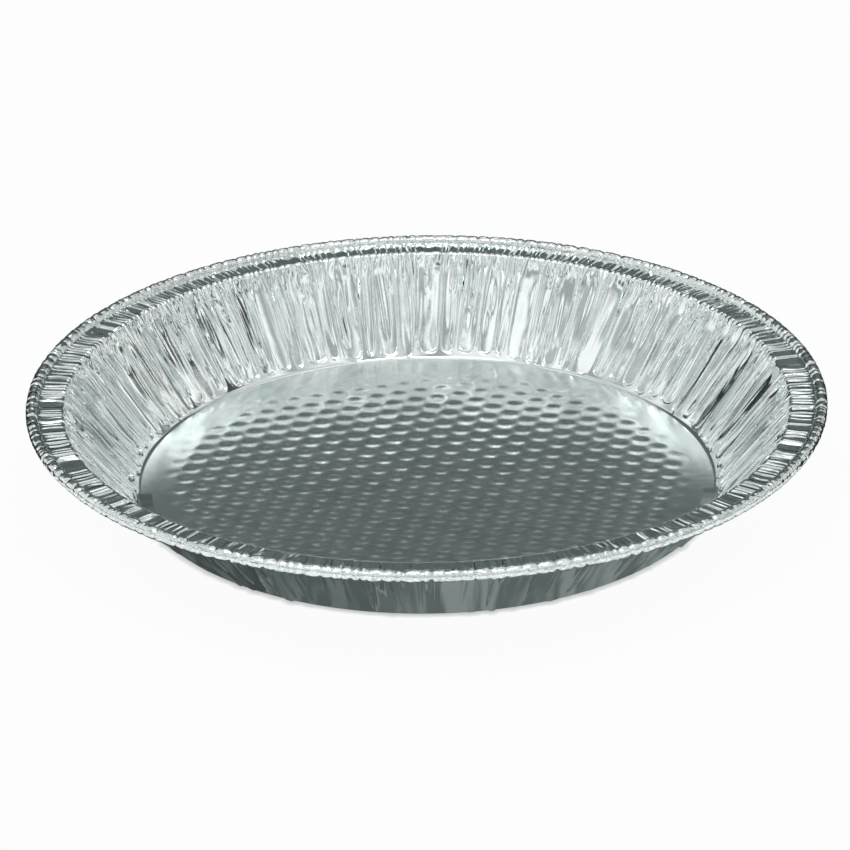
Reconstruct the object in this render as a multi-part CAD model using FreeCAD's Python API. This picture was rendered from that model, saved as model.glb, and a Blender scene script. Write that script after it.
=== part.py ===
import FreeCAD, Part
import math
import os
import random
from types import SimpleNamespace

# Foil pie tin, pressed from one sheet of aluminium foil.
# Millimetres, +Z up, the underside of the flat bottom on Z = 0 and the axis of the tin on Z.
# The upper face of the sheet is worked out first, as rings of points joined by flat creased facets.
# The under face follows it one foil thickness away, and a narrow strip closes the cut edge.

SIZES = {
    # Rim: the curled bead and the flat folded flange inside it
    "rim_radius": 122.0,
    "bead_radius": 1.85,
    "bead_sweep": 312.0,
    "bead_dent": 0.14,
    "bead_facet_count": 62,
    "flange_height": 28.6,
    "flange_width": 7.5,
    "flange_fold_depth": 0.55,
    "flange_edge_lap": 0.5,
    # Bottom: the flat, its rounded corner and the embossed dimples, each a short trough
    "base_radius": 88.25,
    "base_corner_radius": 3.2,
    "foil_thickness": 0.08,
    "emboss_pitch": 7.3,
    "emboss_height": 0.75,
    "emboss_trough_share": 0.44,
    "emboss_angle": 17.0,
    "emboss_fade_width": 9.0,
    "plain_border_width": 8.6,
    # Wall: flat panels between narrow pleats, which end above the corner and fork on their way up
    "pleat_count": 94,
    "pleat_depth": 1.1,
    "pleat_depth_spread": 0.25,
    "pleat_end_length": 1.6,
    "pleat_shoulder_share": 0.2,
    "pleat_wander": 0.2,
    "fork_height_share": 0.42,
    "fork_height_spread": 0.22,
    "plain_pleat_share": 0.2,
}

NODE = "pie_tin"
BEAD_STEP_COUNT = 6
PLAIN_FOLD_COUNT = 2
FORK_FOLD_COUNT = 4
LEAST_LAP_SHARE = 0.4
EMBOSS_ROW_TURN = 60.0
MIDDLE = 0.5
CREASE_SEED = 9
SLOPE_ROUND_COUNT = 20
TOUCH = 1e-6


def driving_sizes(doc):
    """Spreadsheet of the driving sizes, one alias a row, and the same values to work with."""
    sheet = doc.addObject("Spreadsheet::Sheet", "Sizes")
    for row, (name, value) in enumerate(SIZES.items(), start=1):
        sheet.set("A%d" % row, name)
        sheet.set("B%d" % row, str(value))
        sheet.setAlias("B%d" % row, name)
    doc.recompute()
    size = SimpleNamespace(**{name: float(getattr(sheet, name)) for name in SIZES})
    size.pleat_count = round(size.pleat_count)
    size.bead_facet_count = round(size.bead_facet_count)
    size.emboss_radius = size.base_radius - size.plain_border_width
    return size


class Section:
    """Section of the upper face: flat bottom, corner arc, straight wall, flange and curled bead."""

    def __init__(self, size):
        self.floor = size.foil_thickness
        self.base_radius = size.base_radius
        self.corner_radius = size.base_corner_radius
        self.bend = (size.rim_radius - 2 * size.bead_radius - size.flange_width, size.flange_height)
        self.slope = self.wall_slope()
        self.foot = self.corner(1.0)
        self.wall_length = math.dist(self.foot, self.bend)
        self.bead_radius = size.bead_radius
        self.bead_middle = (size.rim_radius - size.bead_radius, size.flange_height)
        self.bead_sweep = math.radians(size.bead_sweep)

    def wall_slope(self):
        """Slope of the straight wall, which leaves the corner arc at a tangent."""
        rise = self.bend[1] - self.floor
        run = self.bend[0] - self.base_radius
        slope = math.atan2(rise, run)
        for _ in range(SLOPE_ROUND_COUNT):
            slope = math.atan2(rise, run - self.corner_radius * math.tan(slope / 2))
        return slope

    def corner(self, share):
        """Radius and height on the corner arc, from the flat bottom (0) to the wall (1)."""
        turn = self.slope * share
        across = self.corner_radius * math.sin(turn)
        up = self.corner_radius * (1 - math.cos(turn))
        return self.base_radius + across, self.floor + up

    def wall(self, share, depth):
        """Radius and height on the wall, pushed outwards by the depth of a groove."""
        radius = self.foot[0] + (self.bend[0] - self.foot[0]) * share
        height = self.foot[1] + (self.bend[1] - self.foot[1]) * share
        return radius + depth * math.sin(self.slope), height - depth * math.cos(self.slope)

    def bead(self, share, dent):
        """Radius and height on the curl, from the flange (0) over the top and round under (1)."""
        turn = math.pi - self.bead_sweep * share
        radius = self.bead_radius - dent
        middle_radius, middle_height = self.bead_middle
        return middle_radius + radius * math.cos(turn), middle_height + radius * math.sin(turn)


class Sheet:
    """Upper face of the foil: numbered points and the facets between them."""

    def __init__(self):
        self.points = []
        self.facets = []

    def add(self, point):
        """Number of a new point."""
        self.points.append(point)
        return len(self.points) - 1

    def turned(self, place, angle):
        """Angle and number of a section point turned about the axis of the tin."""
        radius, height = place
        return angle, self.add(FreeCAD.Vector(radius * math.cos(angle), radius * math.sin(angle), height))

    def join(self, inner, outer):
        """Facets between two rings in order of angle, so that their counts may differ."""
        inner = closed(inner)
        outer = closed(outer)
        i = j = 0
        while i < len(inner) - 1 or j < len(outer) - 1:
            inner_done = i == len(inner) - 1
            outer_done = j == len(outer) - 1
            if inner_done or (not outer_done and half_way(outer, j) <= half_way(inner, i)):
                self.facets.append((inner[i][1], outer[j][1], outer[j + 1][1]))
                j += 1
            else:
                self.facets.append((inner[i][1], outer[j][1], inner[i + 1][1]))
                i += 1


def closed(ring):
    """Ring with its first point again at the end, one turn on."""
    angle, number = ring[0]
    return ring + [(angle + 2 * math.pi, number)]


def half_way(ring, k):
    """Angle halfway along one side of a ring."""
    return (ring[k][0] + ring[k + 1][0]) / 2


def emboss(sheet, size):
    """Quilt of shallow dimples in staggered rows on the flat bottom. Gives the line round it."""
    turn = math.radians(size.emboss_angle)
    row_turn = math.radians(EMBOSS_ROW_TURN)
    along = FreeCAD.Vector(math.cos(turn), math.sin(turn), 0) * size.emboss_pitch
    across = FreeCAD.Vector(math.cos(turn + row_turn), math.sin(turn + row_turn), 0) * size.emboss_pitch
    reach = math.ceil(size.emboss_radius / (size.emboss_pitch * math.sin(row_turn)))
    floor = FreeCAD.Vector(0, 0, size.foil_thickness)
    crests = {}

    def crest(i, j):
        """Point between four dimples, lower towards the edge of the field."""
        if (i, j) not in crests:
            place = along * i + across * j
            fade = (size.emboss_radius - place.Length) / size.emboss_fade_width
            rise = FreeCAD.Vector(0, 0, size.emboss_height * min(fade, 1.0))
            crests[i, j] = sheet.add(place + floor + rise)
        return crests[i, j]

    near_share = (1 - size.emboss_trough_share) * MIDDLE
    far_share = 1 - near_share
    open_sides = set()
    for i in range(-reach - 1, reach + 1):
        for j in range(-reach - 1, reach + 1):
            corners = [(i, j), (i + 1, j), (i + 1, j + 1), (i, j + 1)]
            if max((along * a + across * b).Length for a, b in corners) > size.emboss_radius:
                continue
            a, b, c, d = ring = [crest(*corner) for corner in corners]
            near = sheet.add(along * (i + MIDDLE) + across * (j + near_share) + floor)
            far = sheet.add(along * (i + MIDDLE) + across * (j + far_share) + floor)
            sheet.facets += [(a, b, near), (b, c, near), (c, far, near)]
            sheet.facets += [(c, d, far), (d, a, far), (a, near, far)]
            for side in zip(ring, ring[1:] + ring[:1]):
                if side[::-1] in open_sides:
                    open_sides.remove(side[::-1])
                else:
                    open_sides.add(side)
    following = dict(open_sides)
    outline = [min(following)]
    while following[outline[-1]] != outline[0]:
        outline.append(following[outline[-1]])
    for number in outline:
        sheet.points[number].z = floor.z
    return outline


def wander(rng, reach):
    """Random shift of up to a reach either way."""
    return rng.uniform(-reach, reach)


def pleated_wall(sheet, size, section, rng):
    """Corner, pleats and folded flange, ring by ring. Gives the base crease and the flange's edge."""
    pitch = 2 * math.pi / size.pleat_count
    ridges = [pitch * (k + wander(rng, size.pleat_wander)) for k in range(size.pleat_count)]
    panel_end = size.pleat_end_length / section.wall_length
    crease = [sheet.turned(section.corner(0), ridge) for ridge in ridges]
    corner = [sheet.turned(section.corner(MIDDLE), ridge) for ridge in ridges]
    foot, fork, bend, edge = [], [], [], []
    for ridge, following in zip(ridges, ridges[1:] + [ridges[0] + 2 * math.pi]):
        width = following - ridge
        forking = size.fork_height_share + wander(rng, size.fork_height_spread)
        foot.append(sheet.turned(section.wall(0, 0), ridge))
        fork.append(sheet.turned(section.wall(forking, 0), ridge))
        for shoulder in (size.pleat_shoulder_share, 1 - size.pleat_shoulder_share):
            depth = size.pleat_depth * (1 + wander(rng, size.pleat_depth_spread))
            side = ridge + width * shoulder
            foot.append(sheet.turned(section.wall(panel_end, depth), side))
            fork.append(sheet.turned(section.wall(forking, depth), side))
        folds = PLAIN_FOLD_COUNT if rng.random() < size.plain_pleat_share else FORK_FOLD_COUNT
        for fold in range(folds):
            sunk = fold % 2 == 1
            angle = ridge + width * (fold + wander(rng, size.pleat_wander)) / folds
            lap = size.flange_edge_lap * rng.uniform(LEAST_LAP_SHARE, 1)
            drop = size.flange_fold_depth if sunk else 0.0
            bend_radius = section.bend[0] + (lap if sunk else -lap)
            bend.append(sheet.turned((bend_radius, section.bend[1] - drop), angle))
            edge_radius, edge_height = section.bead(0, 0)
            edge.append(sheet.turned((edge_radius, edge_height - drop), angle))
    rings = [crease, corner, foot, fork, bend, edge]
    for inner, outer in zip(rings, rings[1:]):
        sheet.join(inner, outer)
    return crease, edge


def curled_bead(sheet, size, section, edge, rng):
    """Bead curled over, down and under from the flange's edge. Gives the cut edge of the foil."""
    pitch = 2 * math.pi / size.bead_facet_count
    columns = [(pitch * (k + wander(rng, size.pleat_wander)), rng.random()) for k in range(size.bead_facet_count)]
    inner = edge
    for step in range(1, BEAD_STEP_COUNT + 1):
        outer = []
        for angle, dent in columns:
            crumple = size.bead_dent * (dent + rng.random())
            outer.append(sheet.turned(section.bead(step / BEAD_STEP_COUNT, crumple), angle))
        sheet.join(inner, outer)
        inner = outer
    return inner


def under_face(sheet, size):
    """Points of the under face, one foil thickness square behind the facets of the upper face."""
    squares = []
    leans = [FreeCAD.Vector() for _ in sheet.points]
    for facet in sheet.facets:
        a, b, c = (sheet.points[number] for number in facet)
        square = (b - a).cross(c - a).normalize()
        squares.append(square)
        for number, one, two in zip(facet, (b - a, c - b, a - c), (c - a, a - b, b - c)):
            leans[number] += square * one.getAngle(two)
    reaches = [[] for _ in sheet.points]
    for facet, square in zip(sheet.facets, squares):
        for number in facet:
            reaches[number].append(square.dot(leans[number].normalize()))
    under = []
    for point, lean, reach in zip(sheet.points, leans, reaches):
        if abs(point.z - size.foil_thickness) < TOUCH:
            under.append(FreeCAD.Vector(point.x, point.y, 0))
        else:
            under.append(point - lean * (size.foil_thickness * len(reach) / sum(reach)))
    return under


def polygon_wire(points):
    """Closed wire through points."""
    return Part.makePolygon(points + points[:1])


def foil_solid(size):
    """The pressed sheet as one closed solid."""
    rng = random.Random(CREASE_SEED)
    section = Section(size)
    sheet = Sheet()
    outline = emboss(sheet, size)
    crease, edge = pleated_wall(sheet, size, section, rng)
    cut = [number for _, number in curled_bead(sheet, size, section, edge, rng)]
    under = under_face(sheet, size)

    count = len(sheet.points)
    facets = list(sheet.facets)
    facets += [(c + count, b + count, a + count) for a, b, c in sheet.facets]
    for one, two in zip(cut, cut[1:] + cut[:1]):
        facets.append((two, one, one + count))
        facets.append((two, one + count, two + count))
    folded = Part.Shape()
    folded.makeShapeFromMesh((sheet.points + under, facets), TOUCH)

    faces = list(folded.Faces)
    for points in (sheet.points, under):
        outer = polygon_wire([points[number] for _, number in crease])
        inner = polygon_wire([points[number] for number in reversed(outline)])
        faces.append(Part.Face([outer, inner]))
    shell = Part.makeShell(faces)
    shell.sewShape()
    solid = Part.makeSolid(shell)
    if solid.Volume < 0:
        solid.reverse()
    return solid


def checked(doc):
    """Stop if any object failed or the sheet isn't one sound solid."""
    for item in doc.Objects:
        if {"Invalid", "Error"} & set(item.State):
            raise RuntimeError("failed: " + item.Name)
    shape = doc.getObject(NODE).Shape
    if shape.isNull() or not shape.isValid() or len(shape.Solids) != 1:
        raise RuntimeError("not one sound solid: " + NODE)


doc = FreeCAD.newDocument("FoilPieTin")
tin = doc.addObject("Part::Feature", NODE)
tin.Label = NODE
tin.Shape = foil_solid(driving_sizes(doc))
tin.Placement = FreeCAD.Placement()
doc.recompute()
checked(doc)
os.makedirs("parts", exist_ok=True)
tin.Shape.exportStep(os.path.join("parts", NODE + ".step"))
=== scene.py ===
import math

import bpy
import numpy as np
from mathutils import Matrix, Vector


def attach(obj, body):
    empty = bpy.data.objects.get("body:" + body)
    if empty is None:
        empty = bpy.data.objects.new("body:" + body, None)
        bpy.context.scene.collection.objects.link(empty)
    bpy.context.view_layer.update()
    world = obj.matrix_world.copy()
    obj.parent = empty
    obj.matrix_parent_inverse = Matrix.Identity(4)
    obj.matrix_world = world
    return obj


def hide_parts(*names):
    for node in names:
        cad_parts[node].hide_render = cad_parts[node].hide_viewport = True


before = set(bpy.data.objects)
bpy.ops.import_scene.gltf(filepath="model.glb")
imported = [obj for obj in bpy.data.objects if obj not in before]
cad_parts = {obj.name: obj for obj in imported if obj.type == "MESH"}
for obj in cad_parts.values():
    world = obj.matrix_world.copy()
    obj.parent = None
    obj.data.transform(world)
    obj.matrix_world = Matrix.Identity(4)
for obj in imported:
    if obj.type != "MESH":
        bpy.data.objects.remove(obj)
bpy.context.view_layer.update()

# Sizes of the pressed foil, in metres: rim and flange
MM = 0.001
RIM_RADIUS = 122.0 * MM
BEAD_RADIUS = 1.85 * MM
BEAD_SWEEP = math.radians(312.0)
FLANGE_HEIGHT = 28.6 * MM
FLANGE_WIDTH = 7.5 * MM
BEND_RADIUS = 1.8 * MM
FOIL = 0.08 * MM

# Bottom and its dimples
BASE_RADIUS = 88.25 * MM
CORNER_RADIUS = 1.4 * MM
DIMPLE_PITCH = 7.3 * MM
DIMPLE_HEIGHT = 0.25 * MM
WAVE_HEIGHT = 0.18 * MM
DIMPLE_ROW_ANGLE = math.radians(17.0)
DIMPLE_EDGE = BASE_RADIUS - 6.0 * MM
DIMPLE_FADE = 8.0 * MM
BOTTOM_CELLS = 208
BOTTOM_WAVES = (9, 3)

# Wall: pleats between flat panels, with crests that narrow towards the top
PLEAT_COUNT = 94
COLUMNS_PER_PLEAT = 30
HALF_PLEAT = COLUMNS_PER_PLEAT // 2
PLEAT_DEPTH = 1.25 * MM
DEPTH_AT_FOOT = 0.34
FULL_DEPTH_AT = 0.38
CREST_HALF = 0.24 * MM
CREST_FLARE = 1.1 * MM
FLARE_LENGTH = 2.2 * MM
CREST_SIDE = 0.45 * MM
NARROWS_FROM = 0.75
CREST_NARROWING = 0.3
SIDE_NARROWING = 0.12
PANEL_END = 1.1 * MM
PANEL_END_ROUND = 2.0 * MM
PANEL_END_LENGTH = 0.7 * MM

# Mean radius at which widths round the wall are measured
WALL_RADIUS = 100.0 * MM

# Rings of the section, as shares of each part's length
CORNER_SHARES = (0.0, 0.35, 0.7)
WALL_SHARES = ((0.0, 0.12, 12), (0.12, 0.22, 5), (0.22, 1.0, 13))
BEND_SHARES = (0.25, 0.5, 0.75, 1.0)
FLANGE_SHARES = (0.0, 0.12, 0.25, 0.4, 0.55, 0.7, 0.85, 0.93, 1.0)
BEAD_RINGS = 28

# Forks and notches: shares of the pleats, a fork's half widths in millimetres, a share never reached
PLAIN_SHARE = 0.1
NOTCHED_SHARE = 0.55
NARROW_FORK = 1.3
WIDE_FORK = 1.9
NOTCH_HALF = 0.22 * MM
NOTCH_SIDE = 0.6 * MM
NOTCH_RUN = 0.25
FORK_OPENING = 0.75
NEVER = 2.0

# Columns of a half pleat where forks and flange folds are set, and a fork's least offsets in millimetres
FORK_STEPS = (0, 3, 6, 10, HALF_PLEAT)
FORK_LEAST = (0.2, 0.45, 1.0)
FORK_BESIDE = 0.75 * MM
FOLD_STEPS = (0, 6, 9, 12, HALF_PLEAT)

# Folds across the bend and the flange: ranges for grooves and ridges, as shares of their depth
FOLD_DEPTH = 0.42 * MM
FOLDS_FROM = 0.84
LINE_GROOVE = (0.6, 1.0)
SIDE_GROOVE = (0.65, 1.0)
RIDGE = (0.0, 0.3)
MIDDLE_RIDGE = (0.0, 0.35)
NARROW_PANEL_SIDE = 0.5
WIDE_PANEL = 0.9

# Small dents of the wall
DENT_COUNT = 90
DENT_SIZE = 1.6 * MM
DENT_DEPTH = 0.09 * MM
DENT_HEIGHTS = (5, 37)
DENTS_FADE_IN = (6 * MM, 10 * MM)
DENTS_FADE_OUT = (34 * MM, 38 * MM)

# Creases up the wall, in millimetres: count, range of starts, first end, width, height, seed
WALL_CREASES = (
    (130, (3, 9), 20, 0.8, 0.34, 31),
    (100, (5, 20), 14, 0.45, 0.2, 32),
    (130, (12, 30), 26, 0.55, 0.4, 33),
)
CREASE_FADE = 3.0 * MM

# Fine creases across the flange, and the sideways sway of its folds
FLANGE_CREASE_COUNT = 360
FLANGE_CREASE_WIDTH = 0.3 * MM
FLANGE_CREASE_HEIGHT = 0.06 * MM
SWAY = 0.003
SWAY_WAVES = (37, 83)

# Bead: short barrels between pinches, crumpled all over, with wrinkles across them
BEAD_COLUMNS_PER_PLEAT = 18
BARREL_COUNT = 220
BARREL_LENGTHS = (1.3, 4.8)
PINCH_DEPTH = 0.6 * MM
CRUMPLES = (380, 6)
CRUMPLE_DEPTH = 0.16 * MM
FINE_CRUMPLES = (760, 11)
FINE_CRUMPLE_DEPTH = 0.12 * MM
WRINKLE_COUNT = 380
WRINKLE_HEIGHT = 0.2 * MM
WRINKLE_END = 0.06

# Seeds of the random draws
LAYOUT_SEED = 21
DENT_SEED = 5
FLANGE_SEED = 41
FOLD_SEED = 51
BOTTOM_SEED = 61
BEAD_SEED = 8
CRUMPLE_SEED = 81
FINE_CRUMPLE_SEED = 82

rng = np.random.default_rng(LAYOUT_SEED)


def smooth(low, high, value):
    """Smooth step from 0 at low to 1 at high."""
    share = np.clip((value - low) / (high - low), 0.0, 1.0)
    return share * share * (3.0 - 2.0 * share)


# Section of the upper face

BEND_AT = RIM_RADIUS - 2 * BEAD_RADIUS - FLANGE_WIDTH
FLANGE_AT = RIM_RADIUS - 2 * BEAD_RADIUS


def wall_slope():
    """Slope of the wall, which leaves the corner arc at a tangent."""
    rise = FLANGE_HEIGHT - FOIL
    run = BEND_AT - BASE_RADIUS
    slope = math.atan2(rise, run)
    for _ in range(20):
        slope = math.atan2(rise, run - CORNER_RADIUS * math.tan(slope / 2))
    return slope


SLOPE = wall_slope()
CORNER_LENGTH = CORNER_RADIUS * SLOPE
FOOT_AT = BASE_RADIUS + CORNER_RADIUS * math.sin(SLOPE)
FOOT_HEIGHT = FOIL + CORNER_RADIUS * (1 - math.cos(SLOPE))
WALL_LENGTH = math.hypot(BEND_AT - FOOT_AT, FLANGE_HEIGHT - FOOT_HEIGHT)
BEND_SETBACK = BEND_RADIUS * math.tan(SLOPE / 2)


def wall_rows():
    """Radius, height, turn of the face and length from the crease for each ring of the wall."""
    rows = []
    for share in CORNER_SHARES:
        turn = SLOPE * share
        radius = BASE_RADIUS + CORNER_RADIUS * math.sin(turn)
        rows.append((radius, FOIL + CORNER_RADIUS * (1 - math.cos(turn)), turn, CORNER_LENGTH * share))
    straight = WALL_LENGTH - BEND_SETBACK
    shares = np.unique(np.concatenate([np.linspace(*part) for part in WALL_SHARES]))
    for share in shares:
        along = straight * share
        radius = FOOT_AT + along * math.cos(SLOPE)
        rows.append((radius, FOOT_HEIGHT + along * math.sin(SLOPE), SLOPE, CORNER_LENGTH + along))
    arc_radius = BEND_AT + BEND_SETBACK
    for share in BEND_SHARES:
        turn = SLOPE * (1 - share)
        radius = arc_radius - BEND_RADIUS * math.sin(turn)
        height = FLANGE_HEIGHT - BEND_RADIUS * (1 - math.cos(turn))
        rows.append((radius, height, turn, CORNER_LENGTH + straight + BEND_RADIUS * SLOPE * share))
    return np.array(rows)


def flange_rows():
    """Radius, height, turn and length from the crease for each ring of the flat flange."""
    start = BEND_AT + BEND_SETBACK
    length = CORNER_LENGTH + WALL_LENGTH - BEND_SETBACK + BEND_RADIUS * SLOPE
    rows = []
    for share in FLANGE_SHARES:
        across = (FLANGE_AT - start) * share
        rows.append((start + across, FLANGE_HEIGHT, 0.0, length + across))
    return np.array(rows)


def bead_rows():
    """Radius, height, turn and length from the flange for each ring of the curled bead."""
    middle = RIM_RADIUS - BEAD_RADIUS
    rows = []
    for share in np.linspace(0.0, 1.0, BEAD_RINGS):
        turn = math.pi - BEAD_SWEEP * share
        radius = middle + BEAD_RADIUS * math.cos(turn)
        height = FLANGE_HEIGHT + BEAD_RADIUS * math.sin(turn)
        rows.append((radius, height, turn - math.pi / 2, BEAD_RADIUS * BEAD_SWEEP * share))
    return np.array(rows)


# Where the pleats run

PITCH = 2 * math.pi / PLEAT_COUNT


def fold_layout():
    """Place, lean and fork of every pleat round the wall, and form of the panel on its right."""
    count = PLEAT_COUNT
    forked = rng.random(count) > PLAIN_SHARE
    notched = (rng.random(count) < NOTCHED_SHARE) | ~forked | ~np.roll(forked, -1)
    left = np.where(np.roll(notched, 1), NARROW_FORK, WIDE_FORK)
    right = np.where(notched, NARROW_FORK, WIDE_FORK)
    lean = rng.normal(0, 0.16, count)
    layout = {
        "start": PITCH * (np.arange(count) + rng.uniform(-0.2, 0.2, count)),
        "lean": PITCH * 0.5 * (lean + np.roll(lean, 1)),
        "fork": np.where(forked, rng.uniform(0.3, 0.85, count), NEVER),
        "left": (left + rng.uniform(-0.25, 0.25, count)) * MM,
        "right": (right + rng.uniform(-0.25, 0.25, count)) * MM,
        "pocket": rng.uniform(0.6, 1.0, count),
        "crest": rng.uniform(0.6, 1.7, count),
    }
    # One draw a pleat is passed over here, which keeps the order of the draws
    rng.random(count)
    layout.update({
        "depth": PLEAT_DEPTH * rng.uniform(0.72, 1.2, count),
        "end": PANEL_END + rng.uniform(-0.3, 1.5, count) * MM,
        "tilt": rng.normal(0, 0.13, count),
        "bow": rng.normal(0, 0.16, count) * MM,
        "notch": np.where(notched, rng.uniform(0.4, 0.9, count), NEVER),
        "belly": rng.normal(0, 0.24, count) * MM,
    })
    return layout


FOLDS = fold_layout()


def by_step(step, counts, values):
    """Value at each column, given at the counted steps from the pleat's line and straight between."""
    steps = np.abs(step)
    total = np.zeros_like(values[-1])
    for low, high, near, far in zip(counts, counts[1:], values, values[1:]):
        part = np.clip((steps - low) / (high - low), 0, 1)
        total = np.where(steps >= low, near + (far - near) * part, total)
    return total


def column_grid(rows):
    """Angle of every column at every ring, gathered round the pleats, and what it follows from.

    A column belongs to a pleat (unit) and stands some steps left or right of the pleat's line (step). At
    each ring it has an offset from that line, a reach from the line to the panel's middle, the spread of
    the fork and the share of the way up the wall.
    """
    unit = np.repeat(np.arange(PLEAT_COUNT), COLUMNS_PER_PLEAT)
    step = np.tile(np.arange(COLUMNS_PER_PLEAT) - HALF_PLEAT, PLEAT_COUNT)
    share = np.clip((rows[:, 3] - CORNER_LENGTH) / WALL_LENGTH, 0, 1)[:, None]
    radius = rows[:, 0][:, None]
    line = FOLDS["start"] + FOLDS["lean"] * share
    following = np.concatenate([line[:, 1:], line[:, :1] + 2 * math.pi], axis=1)
    middle_right = (line + following) / 2
    middle_left = np.concatenate([middle_right[:, -1:] - 2 * math.pi, middle_right[:, :-1]], axis=1)
    here = line[:, unit]
    reach = np.where(step < 0, here - middle_left[:, unit], middle_right[:, unit] - here) * radius
    opening = (share - FOLDS["fork"]) / np.maximum(1 - FOLDS["fork"], 0.05) * FORK_OPENING
    spread = np.where(step < 0, FOLDS["left"][unit], FOLDS["right"][unit]) * smooth(0, 1, opening)[:, unit]
    knots = [np.zeros_like(spread)]
    for least, beside in zip(FORK_LEAST, (-FORK_BESIDE, 0.0, FORK_BESIDE)):
        knots.append(np.maximum(least * MM, spread + beside))
    knots.append(reach)
    offset = by_step(step, FORK_STEPS, knots)
    angle = here + np.sign(step) * offset / radius
    return angle, unit, step, offset, reach, spread, share


def sunk_share(rows, unit, step, offset, reach, spread, share):
    """How far each point lies in a panel, its panel, and its distance from the panel's middle.

    The first is 0 on a pleat's crest or the plain foot and 1 on a panel.
    """
    length = rows[:, 3][:, None]
    flare = np.exp(-np.maximum(length - CORNER_LENGTH, 0) / FLARE_LENGTH)
    top = smooth(NARROWS_FROM, 1.0, share)
    crest = CREST_HALF * FOLDS["crest"][unit] * (1 - CREST_NARROWING * top) + CREST_FLARE * flare
    side = CREST_SIDE * (1 - SIDE_NARROWING * top)
    away = np.where(spread > 0, np.abs(offset - spread), offset)
    away = np.where((spread > 0) & (offset < spread), (spread - offset) / FOLDS["pocket"][unit], away)
    pleat = 1 - smooth(0, 1, (away - crest) / side)
    panel = np.where(step < 0, np.roll(np.arange(PLEAT_COUNT), 1)[unit], unit)
    inward = reach - offset
    notch_rise = smooth(0, 1, (share - FOLDS["notch"][panel]) / NOTCH_RUN)
    notch = notch_rise * (1 - smooth(0, 1, (inward - NOTCH_HALF) / NOTCH_SIDE))
    across = np.clip(inward / np.maximum(reach - crest, 0.5 * MM), 0, 1)
    end = FOLDS["end"][panel] + PANEL_END_ROUND * (1 - np.sqrt(1 - across * across * 0.98))
    foot = smooth(0, 1, (length - end) / PANEL_END_LENGTH)
    return (1 - np.maximum(pleat, notch)) * foot, panel, inward


def cross_folds(unit, step):
    """Folds that cross the bend and the flange: 0 on their ridges, up to 1 in the grooves between."""
    draw = np.random.default_rng(FOLD_SEED)
    right = (step >= 0).astype(int)
    panel = np.where(step < 0, unit - 1, unit)
    groove = draw.uniform(*LINE_GROOVE, PLEAT_COUNT)[unit]
    crest = draw.uniform(*RIDGE, (2, PLEAT_COUNT))[right, unit]
    side_groove = draw.uniform(*SIDE_GROOVE, (2, PLEAT_COUNT))[right, unit]
    line = FOLDS["start"] + FOLDS["lean"]
    wide = np.diff(np.append(line, line[0] + 2 * math.pi)) > WIDE_PANEL * PITCH
    panel_side = np.where(wide, draw.uniform(*RIDGE, (2, PLEAT_COUNT)), NARROW_PANEL_SIDE)[right, panel]
    middle_groove = draw.uniform(*SIDE_GROOVE, PLEAT_COUNT)
    middle_ridge = draw.uniform(*MIDDLE_RIDGE, PLEAT_COUNT)
    panel_middle = np.where(wide, middle_groove, middle_ridge)[panel]
    return by_step(step, FOLD_STEPS, [groove, crest, side_groove, panel_side, panel_middle])


def around_from(start, angle):
    """Turn from start to angle, the shorter way round."""
    return np.mod(angle - start + math.pi, 2 * math.pi) - math.pi


def crumple(angle, length, count, size, depth, seed):
    """Sum of small soft dents spread over the wall, longer up the wall than across."""
    draw = np.random.default_rng(seed)
    total = np.zeros_like(angle)
    for _ in range(count):
        at = draw.uniform(0, 2 * math.pi)
        height = draw.uniform(*DENT_HEIGHTS) * MM
        wide = size * draw.uniform(0.6, 1.5)
        tall = wide * draw.uniform(1.0, 3.0)
        turn = draw.normal(0, 0.35)
        strength = depth * draw.choice([-1.0, 1.0]) * draw.uniform(0.4, 1.0)
        across = around_from(at, angle) * WALL_RADIUS
        near = np.abs(across) < 4 * wide + tall
        up = length - height
        u = (across * math.cos(turn) + up * math.sin(turn)) / wide
        v = (up * math.cos(turn) - across * math.sin(turn)) / tall
        total += np.where(near, strength * np.exp(-u * u - v * v), 0)
    return total


def ridges(angle, length, count, starts, ends, width, height, seed):
    """Sum of narrow creases that run up the wall, tapered at both ends, some up and some down."""
    draw = np.random.default_rng(seed)
    total = np.zeros_like(angle)
    for _ in range(count):
        at = draw.uniform(0, 2 * math.pi)
        low = draw.uniform(*starts)
        high = max(draw.uniform(*ends), low + 4 * MM)
        lean = draw.normal(0, 0.012)
        wide = width * draw.uniform(0.7, 1.5)
        tall = height * draw.uniform(0.35, 1.0) * draw.choice([-0.6, 1.0])
        share = np.clip((length[:, :1] - low) / (high - low), 0, 1)
        belly = np.sqrt(np.maximum(np.sin(math.pi * share), 0.0))
        line = at + lean * (length[:, :1] - low) / (30 * MM)
        away = around_from(line, angle) * WALL_RADIUS
        near = np.abs(away) < 3 * wide
        reach = wide * (0.45 + 0.55 * belly)
        total += np.where(near, tall * belly * np.exp(-(away / reach) ** 2), 0)
    return total


def hammered(around, along, cells_around, cells_along, seed):
    """Uneven creases like crumpled foil: 0 along thin lines, up to about 1 between them."""
    draw = np.random.default_rng(seed)
    values = draw.uniform(-1, 1, (cells_along + 2, cells_around))
    u = np.mod(around, 1.0) * cells_around
    v = np.clip(along, 0, 1) * cells_along
    left, low = np.floor(u).astype(int), np.floor(v).astype(int)
    s, t = smooth(0, 1, u - left), smooth(0, 1, v - low)
    left, right = left % cells_around, (left + 1) % cells_around
    near = values[low, left] * (1 - s) + values[low, right] * s
    far = values[low + 1, left] * (1 - s) + values[low + 1, right] * s
    return np.abs(near * (1 - t) + far * t)


# Meshes

SMOOTH_BELOW = math.radians(50.0)


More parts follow.
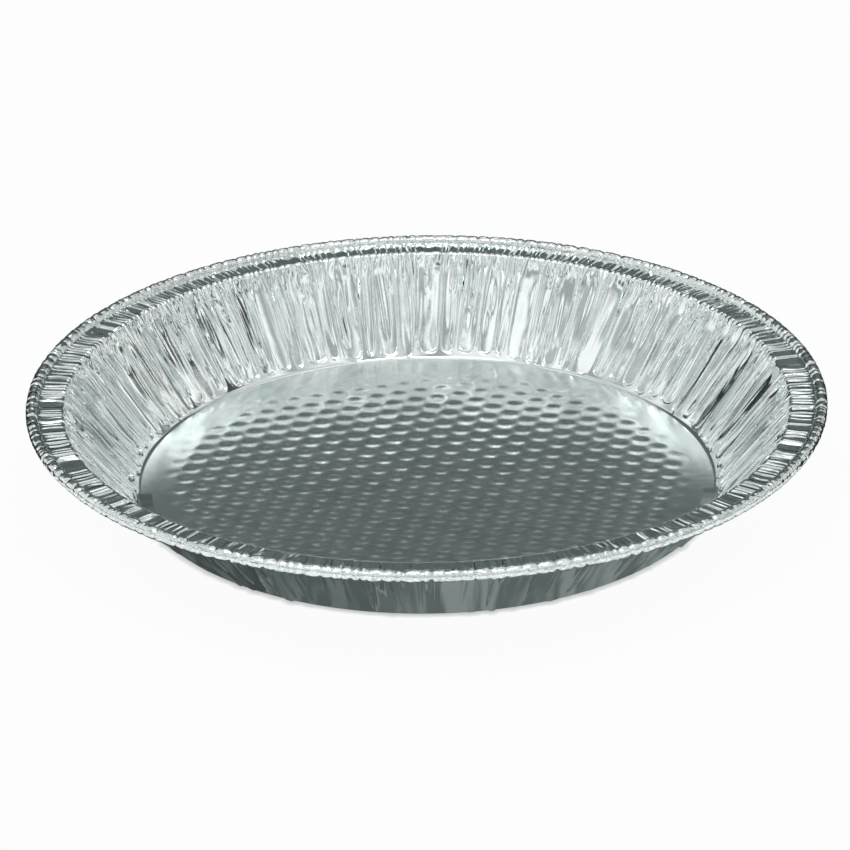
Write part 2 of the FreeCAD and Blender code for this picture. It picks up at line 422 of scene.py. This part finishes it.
def flat_grid(name, columns, rings, size):
    """Flat square grid primitive of so many cells each way."""
    bpy.ops.object.select_all(action="DESELECT")
    bpy.ops.mesh.primitive_grid_add(x_subdivisions=columns, y_subdivisions=rings, size=size)
    grid = bpy.context.object
    grid.name = name
    grid.data.name = name
    return grid


def pressed_sheet(name, points, closed, material):
    """Sheet pressed onto rings of points, closed to a full ring or left open, with gauge and finish."""
    if closed:
        points = np.concatenate([points, points[:, :1]], axis=1)
    rings, columns = points.shape[0], points.shape[1]
    piece = flat_grid(name, columns - 1, rings - 1, 2.0)
    flat = points_of(piece)
    column = np.rint((flat[:, 0] + 1) / 2 * (columns - 1)).astype(int)
    ring = np.rint((flat[:, 1] + 1) / 2 * (rings - 1)).astype(int)
    place_points(piece, points[ring, column])
    bpy.ops.object.mode_set(mode="EDIT")
    bpy.ops.mesh.select_all(action="SELECT")
    bpy.ops.mesh.remove_doubles(threshold=0.001 * MM)
    bpy.ops.mesh.flip_normals()
    bpy.ops.object.mode_set(mode="OBJECT")
    give_gauge(piece, material)


def points_of(piece):
    """Points of a mesh as an array."""
    co = np.zeros(len(piece.data.vertices) * 3)
    piece.data.vertices.foreach_get("co", co)
    return co.reshape(-1, 3)


def place_points(piece, co):
    """Move the points of a mesh."""
    piece.data.vertices.foreach_set("co", co.ravel())
    piece.data.update()


def give_gauge(piece, material):
    """Foil thickness below the face, smooth shading and the finish."""
    piece.data.materials.append(material)
    bpy.ops.object.select_all(action="DESELECT")
    piece.select_set(True)
    bpy.context.view_layer.objects.active = piece
    gauge = piece.modifiers.new("gauge", "SOLIDIFY")
    gauge.thickness = FOIL
    gauge.offset = -1.0
    bpy.ops.object.modifier_apply(modifier=gauge.name)
    bpy.ops.object.shade_smooth_by_angle(angle=SMOOTH_BELOW)
    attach(piece, "root")
    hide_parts("pie_tin")


def pressed(rows, angle, push):
    """Points of the rings pushed square to the face, as one array of rings and columns."""
    radius = rows[:, 0][:, None] - push * np.sin(rows[:, 2])[:, None]
    height = rows[:, 1][:, None] + push * np.cos(rows[:, 2])[:, None]
    return np.stack([radius * np.cos(angle), radius * np.sin(angle), height], axis=2)


def build_wall(material):
    """Corner, pleated wall and the bend to the flange."""
    rows = wall_rows()
    angle, unit, step, offset, reach, spread, share = column_grid(rows)
    sunk, panel, inward = sunk_share(rows, unit, step, offset, reach, spread, share)
    side = np.where(step < 0, -1.0, 1.0)
    upper = smooth(FOLDS_FROM, 1.0, share)
    deepening = DEPTH_AT_FOOT + (1 - DEPTH_AT_FOOT) * smooth(0.0, FULL_DEPTH_AT, share)
    depth = FOLDS["depth"][panel] * (1 - upper) * deepening
    across = np.clip(inward / reach, 0, 1)
    shape = FOLDS["tilt"][panel] * inward * side * (1 - upper)
    shape = shape + FOLDS["bow"][panel] * np.sin(math.pi * share) * (1 - upper)
    shape = shape + FOLDS["belly"][panel] * (1 - across ** 2) * (1 - upper)
    length = rows[:, 3][:, None] + np.zeros_like(angle)
    dents = crumple(angle, length, DENT_COUNT, DENT_SIZE, DENT_DEPTH, DENT_SEED)
    dents *= smooth(*DENTS_FADE_IN, length) * (1 - smooth(*DENTS_FADE_OUT, length))
    end = rows[-1, 3]
    creases = np.zeros_like(angle)
    for count, (first, last), first_end, width, height, seed in WALL_CREASES:
        starts, ends = (first * MM, last * MM), (first_end * MM, end)
        creases += ridges(angle, length, count, starts, ends, width * MM, height * MM, seed)
    creases *= 1 - smooth(end - CREASE_FADE, end, length)
    folds = FOLD_DEPTH * cross_folds(unit, step) * upper
    push = -(depth + shape) * sunk - folds + dents + creases
    room = (rows[:, 1] - FOIL)[:, None] * 0.5 / np.cos(rows[:, 2])[:, None]
    push = np.maximum(push, -room)
    points = np.roll(pressed(rows, angle, push), -HALF_PLEAT, axis=1)
    points = np.concatenate([points, points[:, :1]], axis=1)
    half = PLEAT_COUNT // 2 * COLUMNS_PER_PLEAT
    pressed_sheet("wall_back", points[:, :half + 1], False, material)
    pressed_sheet("wall_front", points[:, half:], False, material)


def bead_dents(angle, share, draw):
    """Depth of the pinches and wrinkles that break the bead into short barrels."""
    gaps = draw.uniform(*BARREL_LENGTHS, BARREL_COUNT)
    line = np.cumsum(gaps) / gaps.sum() * 2 * math.pi
    deep = draw.uniform(0.2, 1.0, line.size) * PINCH_DEPTH
    lean = draw.normal(0, 0.006, line.size)
    around = np.mod(angle, 2 * math.pi)
    at = np.searchsorted(line, around) % line.size
    low = line[at - 1] + lean[at - 1] * share
    high = line[at] + lean[at] * share
    wide = np.mod(high - low, 2 * math.pi)
    part = np.clip(np.mod(around - low + 0.5, 2 * math.pi) - 0.5, 0, wide) / wide
    total = np.where(part < 0.5, deep[at - 1], deep[at]) * np.abs(2 * part - 1) ** 4
    turn = angle / (2 * math.pi)
    total -= CRUMPLE_DEPTH * hammered(turn + 0.001 * share, share, *CRUMPLES, CRUMPLE_SEED)
    total += FINE_CRUMPLE_DEPTH * hammered(turn, share, *FINE_CRUMPLES, FINE_CRUMPLE_SEED)
    for _ in range(WRINKLE_COUNT):
        start = draw.uniform(0, 2 * math.pi)
        slant = draw.normal(0, 0.03)
        width = draw.uniform(0.25, 0.6) * MM
        tall = draw.choice([-0.6, 1.0]) * draw.uniform(0.4, 1.0) * WRINKLE_HEIGHT
        begin = draw.uniform(-0.2, 0.7)
        end = begin + draw.uniform(0.06, 0.3)
        away = around_from(start + slant * share, around) * RIM_RADIUS
        reach = smooth(begin, begin + WRINKLE_END, share) * (1 - smooth(end, end + WRINKLE_END, share))
        total += tall * reach * np.exp(-(away / width) ** 2)
    return total


def build_flange(material):
    """Flat flange with the pleats' folds pressed across it."""
    rows = flange_rows()
    angle, unit, step = column_grid(rows)[:3]
    across = ((rows[:, 0] - rows[0, 0]) / (rows[-1, 0] - rows[0, 0]))[:, None]
    length = rows[:, 3][:, None] + np.zeros_like(angle)
    inner, outer = rows[0, 3], rows[-1, 3]
    starts, ends = (inner - 4 * MM, inner), (outer, outer + 2 * MM)
    width, height = FLANGE_CREASE_WIDTH, FLANGE_CREASE_HEIGHT
    fine = ridges(angle, length, FLANGE_CREASE_COUNT, starts, ends, width, height, FLANGE_SEED)
    folds = FOLD_DEPTH * cross_folds(unit, step) * (1 - 0.2 * across ** 2)
    push = (fine * smooth(0.0, 0.2, across) - folds) * (1 - smooth(0.9, 1.0, across))
    swing = np.sin(SWAY_WAVES[0] * angle) + np.sin(SWAY_WAVES[1] * angle)
    sway = SWAY * np.sin(math.pi * across) * swing
    pressed_sheet("flange", pressed(rows, angle + sway, push), True, material)


def build_bead(material):
    """Curled bead round the rim, pinched into short barrels."""
    rows = bead_rows()
    columns = PLEAT_COUNT * BEAD_COLUMNS_PER_PLEAT
    angle = np.broadcast_to(2 * math.pi * np.arange(columns) / columns, (len(rows), columns))
    share = (rows[:, 3] / rows[-1, 3])[:, None]
    draw = np.random.default_rng(BEAD_SEED)
    dents = bead_dents(angle, share, draw) * smooth(0.0, 0.05, share)
    pressed_sheet("bead", pressed(rows, angle, -dents), True, material)


def build_bottom(material):
    """Flat bottom with its rows of round dimples, on a square grid drawn out to a disc."""
    piece = flat_grid("bottom", BOTTOM_CELLS, BOTTOM_CELLS, 2.0)
    flat = points_of(piece)
    x, y = flat[:, 0], flat[:, 1]
    x, y = x * np.sqrt(1 - y * y / 2) * BASE_RADIUS, y * np.sqrt(1 - x * x / 2) * BASE_RADIUS
    distance = np.hypot(x, y)
    # Three crossed waves add up to 3 at the dimples' lattice and to no less than -1.5 between them
    sixth = math.pi / 3
    per_length = 2 * math.pi / (DIMPLE_PITCH * math.sin(sixth))
    middle_x = DIMPLE_PITCH * 0.5 * (math.cos(DIMPLE_ROW_ANGLE) + math.cos(DIMPLE_ROW_ANGLE + sixth))
    middle_y = DIMPLE_PITCH * 0.5 * (math.sin(DIMPLE_ROW_ANGLE) + math.sin(DIMPLE_ROW_ANGLE + sixth))
    total = np.zeros_like(x)
    for wave in range(3):
        direction = DIMPLE_ROW_ANGLE + math.pi / 2 + wave * sixth
        along = (x - middle_x) * math.cos(direction) + (y - middle_y) * math.sin(direction)
        total += np.cos(along * per_length)
    rise = smooth(0, 1, (3 - total) / 4.5)
    fade = 1 - smooth(DIMPLE_EDGE - DIMPLE_FADE, DIMPLE_EDGE, distance)
    turn = np.arctan2(y, x) / (2 * math.pi)
    waves = WAVE_HEIGHT * hammered(turn, distance / BASE_RADIUS, *BOTTOM_WAVES, BOTTOM_SEED)
    height = FOIL + (DIMPLE_HEIGHT * rise + waves * smooth(0, 1, distance / DIMPLE_EDGE)) * fade
    place_points(piece, np.stack([x, y, height], axis=1))
    give_gauge(piece, material)


# Finishes

FOIL_DARK = (0.78, 0.835, 0.83, 1)
FOIL_LIGHT = (0.88, 0.925, 0.92, 1)
SMUDGE_SCALE = 45.0
SMUDGE_SPAN = (0.35, 0.65)
ROLLING_SCALE = (60.0, 1500.0, 60.0)
ROLLING_SPAN = (0.3, 0.7)
ROUGHNESS_SPREAD = 0.04
CREASES_AROUND = 170.0
CREASES_UP = 90.0


def node(tree, kind, **values):
    """New node with its settings and socket values."""
    made = tree.nodes.new(kind)
    for name, value in values.items():
        if hasattr(made, name):
            setattr(made, name, value)
        else:
            made.inputs[name].default_value = value
    return made


def two_tones(tree, span, dark, light):
    """Ramp from a dark colour at the low end of a span to a light one at its high end."""
    tone = node(tree, "ShaderNodeValToRGB")
    for element, position, colour in zip(tone.color_ramp.elements, span, (dark, light)):
        element.position = position
        element.color = colour
    return tone


def bare_tree(material):
    """Node tree of a material, emptied but for its output."""
    material.use_nodes = True
    tree = material.node_tree
    tree.nodes.clear()
    return tree, node(tree, "ShaderNodeOutputMaterial")


def foil_metal(name, grain_scale, grain_depth, crease_depth, roughness):
    """Bright aluminium foil: grain or fine crumples, creases up the wall, rolling lines and smudges."""
    material = bpy.data.materials.new(name)
    material.use_nodes = True
    tree = material.node_tree
    metal = tree.nodes["Principled BSDF"]
    metal.inputs["Metallic"].default_value = 1.0
    place = node(tree, "ShaderNodeTexCoord")
    grain = node(tree, "ShaderNodeTexNoise", Scale=grain_scale, Detail=2.0, Roughness=0.5)
    rolling_place = node(tree, "ShaderNodeMapping")
    rolling_place.inputs["Scale"].default_value = ROLLING_SCALE
    rolling = node(tree, "ShaderNodeTexNoise", Scale=1.0, Detail=3.0, Roughness=0.6)
    smudge = node(tree, "ShaderNodeTexNoise", Scale=SMUDGE_SCALE, Detail=4.0, Roughness=0.6)
    tree.links.new(place.outputs["Object"], grain.inputs["Vector"])
    tree.links.new(place.outputs["Object"], rolling_place.inputs["Vector"])
    tree.links.new(rolling_place.outputs["Vector"], rolling.inputs["Vector"])
    tree.links.new(place.outputs["Object"], smudge.inputs["Vector"])
    tone = two_tones(tree, SMUDGE_SPAN, FOIL_DARK, FOIL_LIGHT)
    tree.links.new(smudge.outputs["Fac"], tone.inputs["Fac"])
    tree.links.new(tone.outputs["Color"], metal.inputs["Base Color"])
    rough = node(tree, "ShaderNodeMapRange")
    rough.inputs["From Min"].default_value = ROLLING_SPAN[0]
    rough.inputs["From Max"].default_value = ROLLING_SPAN[1]
    rough.inputs["To Min"].default_value = roughness - ROUGHNESS_SPREAD
    rough.inputs["To Max"].default_value = roughness + ROUGHNESS_SPREAD
    tree.links.new(rolling.outputs["Fac"], rough.inputs["Value"])
    tree.links.new(rough.outputs["Result"], metal.inputs["Roughness"])
    bump = node(tree, "ShaderNodeBump", Strength=1.0, Distance=grain_depth)
    tree.links.new(grain.outputs["Fac"], bump.inputs["Height"])
    tree.links.new(bump.outputs["Normal"], metal.inputs["Normal"])
    if crease_depth > 0:
        tree.links.new(wall_creases(tree, place, crease_depth), bump.inputs["Normal"])
    return material


def wall_creases(tree, place, depth):
    """Bump of fine creases that run up the wall, drawn out along its height all the way round."""
    parts = node(tree, "ShaderNodeSeparateXYZ")
    flat = node(tree, "ShaderNodeCombineXYZ")
    compass = node(tree, "ShaderNodeVectorMath", operation="NORMALIZE")
    around = node(tree, "ShaderNodeVectorMath", operation="SCALE")
    around.inputs["Scale"].default_value = CREASES_AROUND
    rise = node(tree, "ShaderNodeMath", operation="MULTIPLY")
    rise.inputs[1].default_value = CREASES_UP
    upward = node(tree, "ShaderNodeCombineXYZ")
    where = node(tree, "ShaderNodeVectorMath", operation="ADD")
    creases = node(tree, "ShaderNodeTexNoise", Scale=1.0, Detail=2.0, Roughness=0.55)
    bump = node(tree, "ShaderNodeBump", Strength=1.0, Distance=depth)
    tree.links.new(place.outputs["Object"], parts.inputs[0])
    tree.links.new(parts.outputs["X"], flat.inputs["X"])
    tree.links.new(parts.outputs["Y"], flat.inputs["Y"])
    tree.links.new(flat.outputs[0], compass.inputs[0])
    tree.links.new(compass.outputs[0], around.inputs[0])
    tree.links.new(parts.outputs["Z"], rise.inputs[0])
    tree.links.new(rise.outputs[0], upward.inputs["Z"])
    tree.links.new(around.outputs[0], where.inputs[0])
    tree.links.new(upward.outputs[0], where.inputs[1])
    tree.links.new(where.outputs[0], creases.inputs["Vector"])
    tree.links.new(creases.outputs["Fac"], bump.inputs["Height"])
    return bump.outputs["Normal"]


# Studio

CARD_DISTANCE = 2.4
CARD_CELLS = (32, 16)
CARD_SPAN = (0.44, 0.56)
COOL_RED = 0.8
COOL_BLUE = 0.98
NEUTRAL_RATE = 1.4
FLOOR_CARD_HEIGHT = 0.5 * MM
FLOOR_SIZE = 14.0
FLOOR_WHITE_SHARE = 0.95
# Reach and darkest strength of the painted contact shadow in the floor's white emission
PAINTED_SHADOW_REACH = 1.8 * MM
PAINTED_SHADOW_DARKEST = 0.5


def plain_floor():
    """Pale floor, white to the camera, with a painted contact shadow where ambient occlusion dims the
    white near the tin; a small diffuse share keeps the tin's cast shadow.
    """
    bpy.ops.object.select_all(action="DESELECT")
    bpy.ops.mesh.primitive_plane_add(size=FLOOR_SIZE, location=(0, 0, 0))
    floor = bpy.context.object
    floor.name = "floor"
    material = bpy.data.materials.new("pale_floor")
    tree, out = bare_tree(material)
    paper = node(tree, "ShaderNodeBsdfDiffuse", Color=(0.86, 0.87, 0.87, 1))
    white = node(tree, "ShaderNodeEmission", Color=(1, 1, 1, 1), Strength=1.0)
    mix = node(tree, "ShaderNodeMixShader")
    path = node(tree, "ShaderNodeLightPath")
    share = node(tree, "ShaderNodeMath", operation="MULTIPLY")
    share.inputs[1].default_value = FLOOR_WHITE_SHARE
    # Painted contact shadow: ambient occlusion dims the floor's white emission next to the tin's base
    painted_contact_shadow = node(tree, "ShaderNodeAmbientOcclusion", samples=8)
    painted_contact_shadow.inputs["Distance"].default_value = PAINTED_SHADOW_REACH
    shade = node(tree, "ShaderNodeMapRange")
    shade.inputs["To Min"].default_value = PAINTED_SHADOW_DARKEST
    tree.links.new(painted_contact_shadow.outputs["AO"], shade.inputs["Value"])
    tree.links.new(shade.outputs["Result"], white.inputs["Strength"])
    tree.links.new(path.outputs["Is Camera Ray"], share.inputs[0])
    tree.links.new(share.outputs[0], mix.inputs[0])
    tree.links.new(paper.outputs[0], mix.inputs[1])
    tree.links.new(white.outputs[0], mix.inputs[2])
    tree.links.new(mix.outputs[0], out.inputs["Surface"])
    floor.data.materials.append(material)


def studio_card(name, azimuths, elevations, tones, bands):
    """Curved studio card round the tin, seen only in its reflections. Azimuth 0 is behind the tin."""
    panel, azimuth, share = card_grid(name, azimuths)
    elevation = np.radians(elevations[0] + (elevations[1] - elevations[0]) * share)
    level = np.cos(elevation)
    place = np.stack([np.sin(azimuth) * level, np.cos(azimuth) * level, np.sin(elevation)], axis=1)
    place_points(panel, place * CARD_DISTANCE)
    paint_card(panel, tones, bands)


def floor_card(name, azimuths, reaches, tones, bands):
    """Flat card that lies on the floor beside the tin, seen only in its reflections."""
    panel, azimuth, share = card_grid(name, azimuths)
    reach = reaches[0] + (reaches[1] - reaches[0]) * share
    height = np.full_like(reach, FLOOR_CARD_HEIGHT)
    place = np.stack([np.sin(azimuth) * reach, np.cos(azimuth) * reach, height], axis=1)
    place_points(panel, place)
    paint_card(panel, tones, bands)


def card_grid(name, azimuths):
    """Grid for a card, with the azimuth and the share across it of each point."""
    panel = flat_grid(name, *CARD_CELLS, 1.0)
    flat = points_of(panel)
    azimuth = np.radians(azimuths[0] + (azimuths[1] - azimuths[0]) * (flat[:, 0] + 0.5))
    return panel, azimuth, flat[:, 1] + 0.5


def card_colour(tone):
    """Cool grey of a card, which turns neutral as it gets lighter."""
    neutral = min(NEUTRAL_RATE * tone, 1.0)
    red = COOL_RED + (1 - COOL_RED) * neutral
    blue = COOL_BLUE + (1 - COOL_BLUE) * neutral
    return tone * red, tone, tone * blue, 1


def paint_card(panel, tones, bands):
    """Soft uneven bands from the darker to the lighter tone on a card, which only the reflections see."""
    material = bpy.data.materials.new(panel.name)
    tree, out = bare_tree(material)
    paint = node(tree, "ShaderNodeEmission", Strength=1.0)
    place = node(tree, "ShaderNodeTexCoord")
    spread = node(tree, "ShaderNodeMapping")
    spread.inputs["Scale"].default_value = (bands[0], bands[1], 1.0)
    noise = node(tree, "ShaderNodeTexNoise", Scale=1.0, Detail=1.0, Roughness=0.5)
    tone = two_tones(tree, CARD_SPAN, card_colour(tones[0]), card_colour(tones[1]))
    tree.links.new(place.outputs["UV"], spread.inputs["Vector"])
    tree.links.new(spread.outputs["Vector"], noise.inputs["Vector"])
    tree.links.new(noise.outputs["Fac"], tone.inputs["Fac"])
    tree.links.new(tone.outputs["Color"], paint.inputs["Color"])
    tree.links.new(paint.outputs[0], out.inputs["Surface"])
    panel.data.materials.append(material)
    panel.visible_camera = False
    panel.visible_shadow = False
    panel.visible_diffuse = False


def softbox(name, azimuth, elevation, distance, width, height, power, mirrored):
    """Area lamp aimed at the tin, seen in its reflections if mirrored."""
    a, e = math.radians(azimuth), math.radians(elevation)
    away = Vector((math.sin(a) * math.cos(e), math.cos(a) * math.cos(e), math.sin(e)))
    lamp = bpy.data.lights.new(name, "AREA")
    lamp.shape = "RECTANGLE"
    lamp.size = width
    lamp.size_y = height
    lamp.energy = power
    holder = bpy.data.objects.new(name, lamp)
    holder.location = away * distance
    holder.rotation_mode = "QUATERNION"
    holder.rotation_quaternion = away.to_track_quat("Z", "Y")
    holder.visible_glossy = mirrored
    bpy.context.scene.collection.objects.link(holder)


def studio_world():
    """White to the camera and in reflections, and a plain grey light for the floor."""
    world = bpy.data.worlds.new("studio")
    bpy.context.scene.world = world
    world.use_nodes = True
    tree = world.node_tree
    tree.nodes.clear()
    out = node(tree, "ShaderNodeOutputWorld")
    path = node(tree, "ShaderNodeLightPath")
    seen = node(tree, "ShaderNodeMath", operation="MAXIMUM")
    seen_through = node(tree, "ShaderNodeMath", operation="MAXIMUM")
    tree.links.new(path.outputs["Is Camera Ray"], seen.inputs[0])
    tree.links.new(path.outputs["Is Glossy Ray"], seen.inputs[1])
    tree.links.new(seen.outputs[0], seen_through.inputs[0])
    tree.links.new(path.outputs["Is Transmission Ray"], seen_through.inputs[1])
    dim = node(tree, "ShaderNodeBackground", Color=(0.9, 0.95, 0.95, 1), Strength=0.5)
    white = node(tree, "ShaderNodeBackground", Color=(1, 1, 1, 1), Strength=1.0)
    mix = node(tree, "ShaderNodeMixShader")
    tree.links.new(seen_through.outputs[0], mix.inputs[0])
    tree.links.new(dim.outputs[0], mix.inputs[1])
    tree.links.new(white.outputs[0], mix.inputs[2])
    tree.links.new(mix.outputs[0], out.inputs["Surface"])


# Camera fitted to the photograph's outlines, its focal length as a share of the picture's width

CAMERA_DISTANCE = 1.267
CAMERA_ELEVATION = math.radians(26.22)
CAMERA_FOCAL_SHARE = 4108.0 / 850.0
CAMERA_PITCH = math.radians(0.742)
CAMERA_YAW = math.radians(0.025)
CAMERA_ROLL = math.radians(-0.70)
SENSOR_WIDTH = 36.0


def photo_camera():
    """Camera at the photograph's height and distance."""
    data = bpy.data.cameras.new("camera")
    data.sensor_width = SENSOR_WIDTH
    data.lens = SENSOR_WIDTH * CAMERA_FOCAL_SHARE
    data.clip_end = 50.0
    camera = bpy.data.objects.new("camera", data)
    bpy.context.scene.collection.objects.link(camera)
    back = Vector((0, -math.cos(CAMERA_ELEVATION), math.sin(CAMERA_ELEVATION)))
    aim = (-back).to_track_quat("-Z", "Y").to_matrix()
    aim = aim @ Matrix.Rotation(CAMERA_YAW, 3, "Y") @ Matrix.Rotation(CAMERA_PITCH, 3, "X")
    aim = aim @ Matrix.Rotation(CAMERA_ROLL, 3, "Z")
    camera.matrix_world = Matrix.Translation(back * CAMERA_DISTANCE) @ aim.to_4x4()
    bpy.context.scene.camera = camera


# Finishes: name, grain scale, grain depth, crease depth, roughness
rolled = foil_metal("rolled_foil", 2600.0, 0.02 * MM, 0.0, 0.17)
pleated = foil_metal("pleated_foil", 2600.0, 0.01 * MM, 0.005 * MM, 0.08)
crumpled = foil_metal("crumpled_foil", 1300.0, 0.09 * MM, 0.0, 0.1)
build_bottom(rolled)
build_wall(pleated)
build_flange(pleated)
build_bead(crumpled)

plain_floor()

# Cards: name, azimuths, elevations or reaches on the floor, two tones, bands round the tin and up
studio_card("back_low_card", (-50, 40), (-1, 17), (0.02, 0.04), (8, 1))
studio_card("back_card", (-50, 40), (17.5, 43), (0.11, 0.15), (8, 2))
studio_card("back_middle_card", (-18, 14), (43.5, 66), (0.6, 1.45), (4, 3))
studio_card("back_middle_left_card", (-50, -18.5), (43.5, 66), (0.5, 0.7), (3, 2))
studio_card("back_middle_right_card", (14.5, 40), (43.5, 66), (0.5, 0.7), (3, 2))
studio_card("back_top_card", (-50, 40), (66.5, 92), (0.6, 0.85), (7, 3))
studio_card("left_card", (264.5, 309.5), (-1, 60), (0.5, 1.1), (6, 3))
studio_card("left_top_card", (264.5, 309.5), (60.5, 90), (0.55, 0.75), (4, 2))
studio_card("right_card", (40.5, 95.5), (-1, 60), (0.06, 1.2), (8, 3))
studio_card("right_top_card", (40.5, 95.5), (60.5, 90), (0.55, 0.75), (4, 2))
studio_card("front_card", (96, 264), (25, 72), (0.43, 1.12), (14, 2))
studio_card("front_low_card", (96, 264), (-1, 24), (0.14, 1.0), (13, 1.5))
floor_card("floor_back_card", (-94, 94), (0.128, 2.3), (0.02, 0.06), (8, 1))
floor_card("floor_front_card", (100, 260), (0.135, 2.3), (0.55, 1.3), (60, 3))
# Dark cards on the floor under the overhanging wall: painted shadow of the tin, seen only in the outer
# wall's reflections
floor_card("painted_shadow_card", (95, 189.5), (0.085, 0.128), (0.14, 0.26), (22, 0.5))
floor_card("painted_shadow_middle_card", (190, 211.5), (0.085, 0.128), (0.11, 0.17), (5, 0.5))
floor_card("painted_shadow_left_card", (212, 265), (0.085, 0.128), (0.07, 0.13), (10, 0.5))

# Lamps: name, azimuth, elevation, distance, width, height, power, mirrored
softbox("top_softbox", 180, 80, 1.7, 0.9, 0.5, 4, True)
softbox("left_softbox", 286, 50, 1.8, 0.9, 0.7, 6, False)
softbox("right_softbox", 74, 50, 1.8, 0.9, 0.7, 6, False)
studio_world()
photo_camera()

bpy.context.scene.view_settings.view_transform = "Standard"
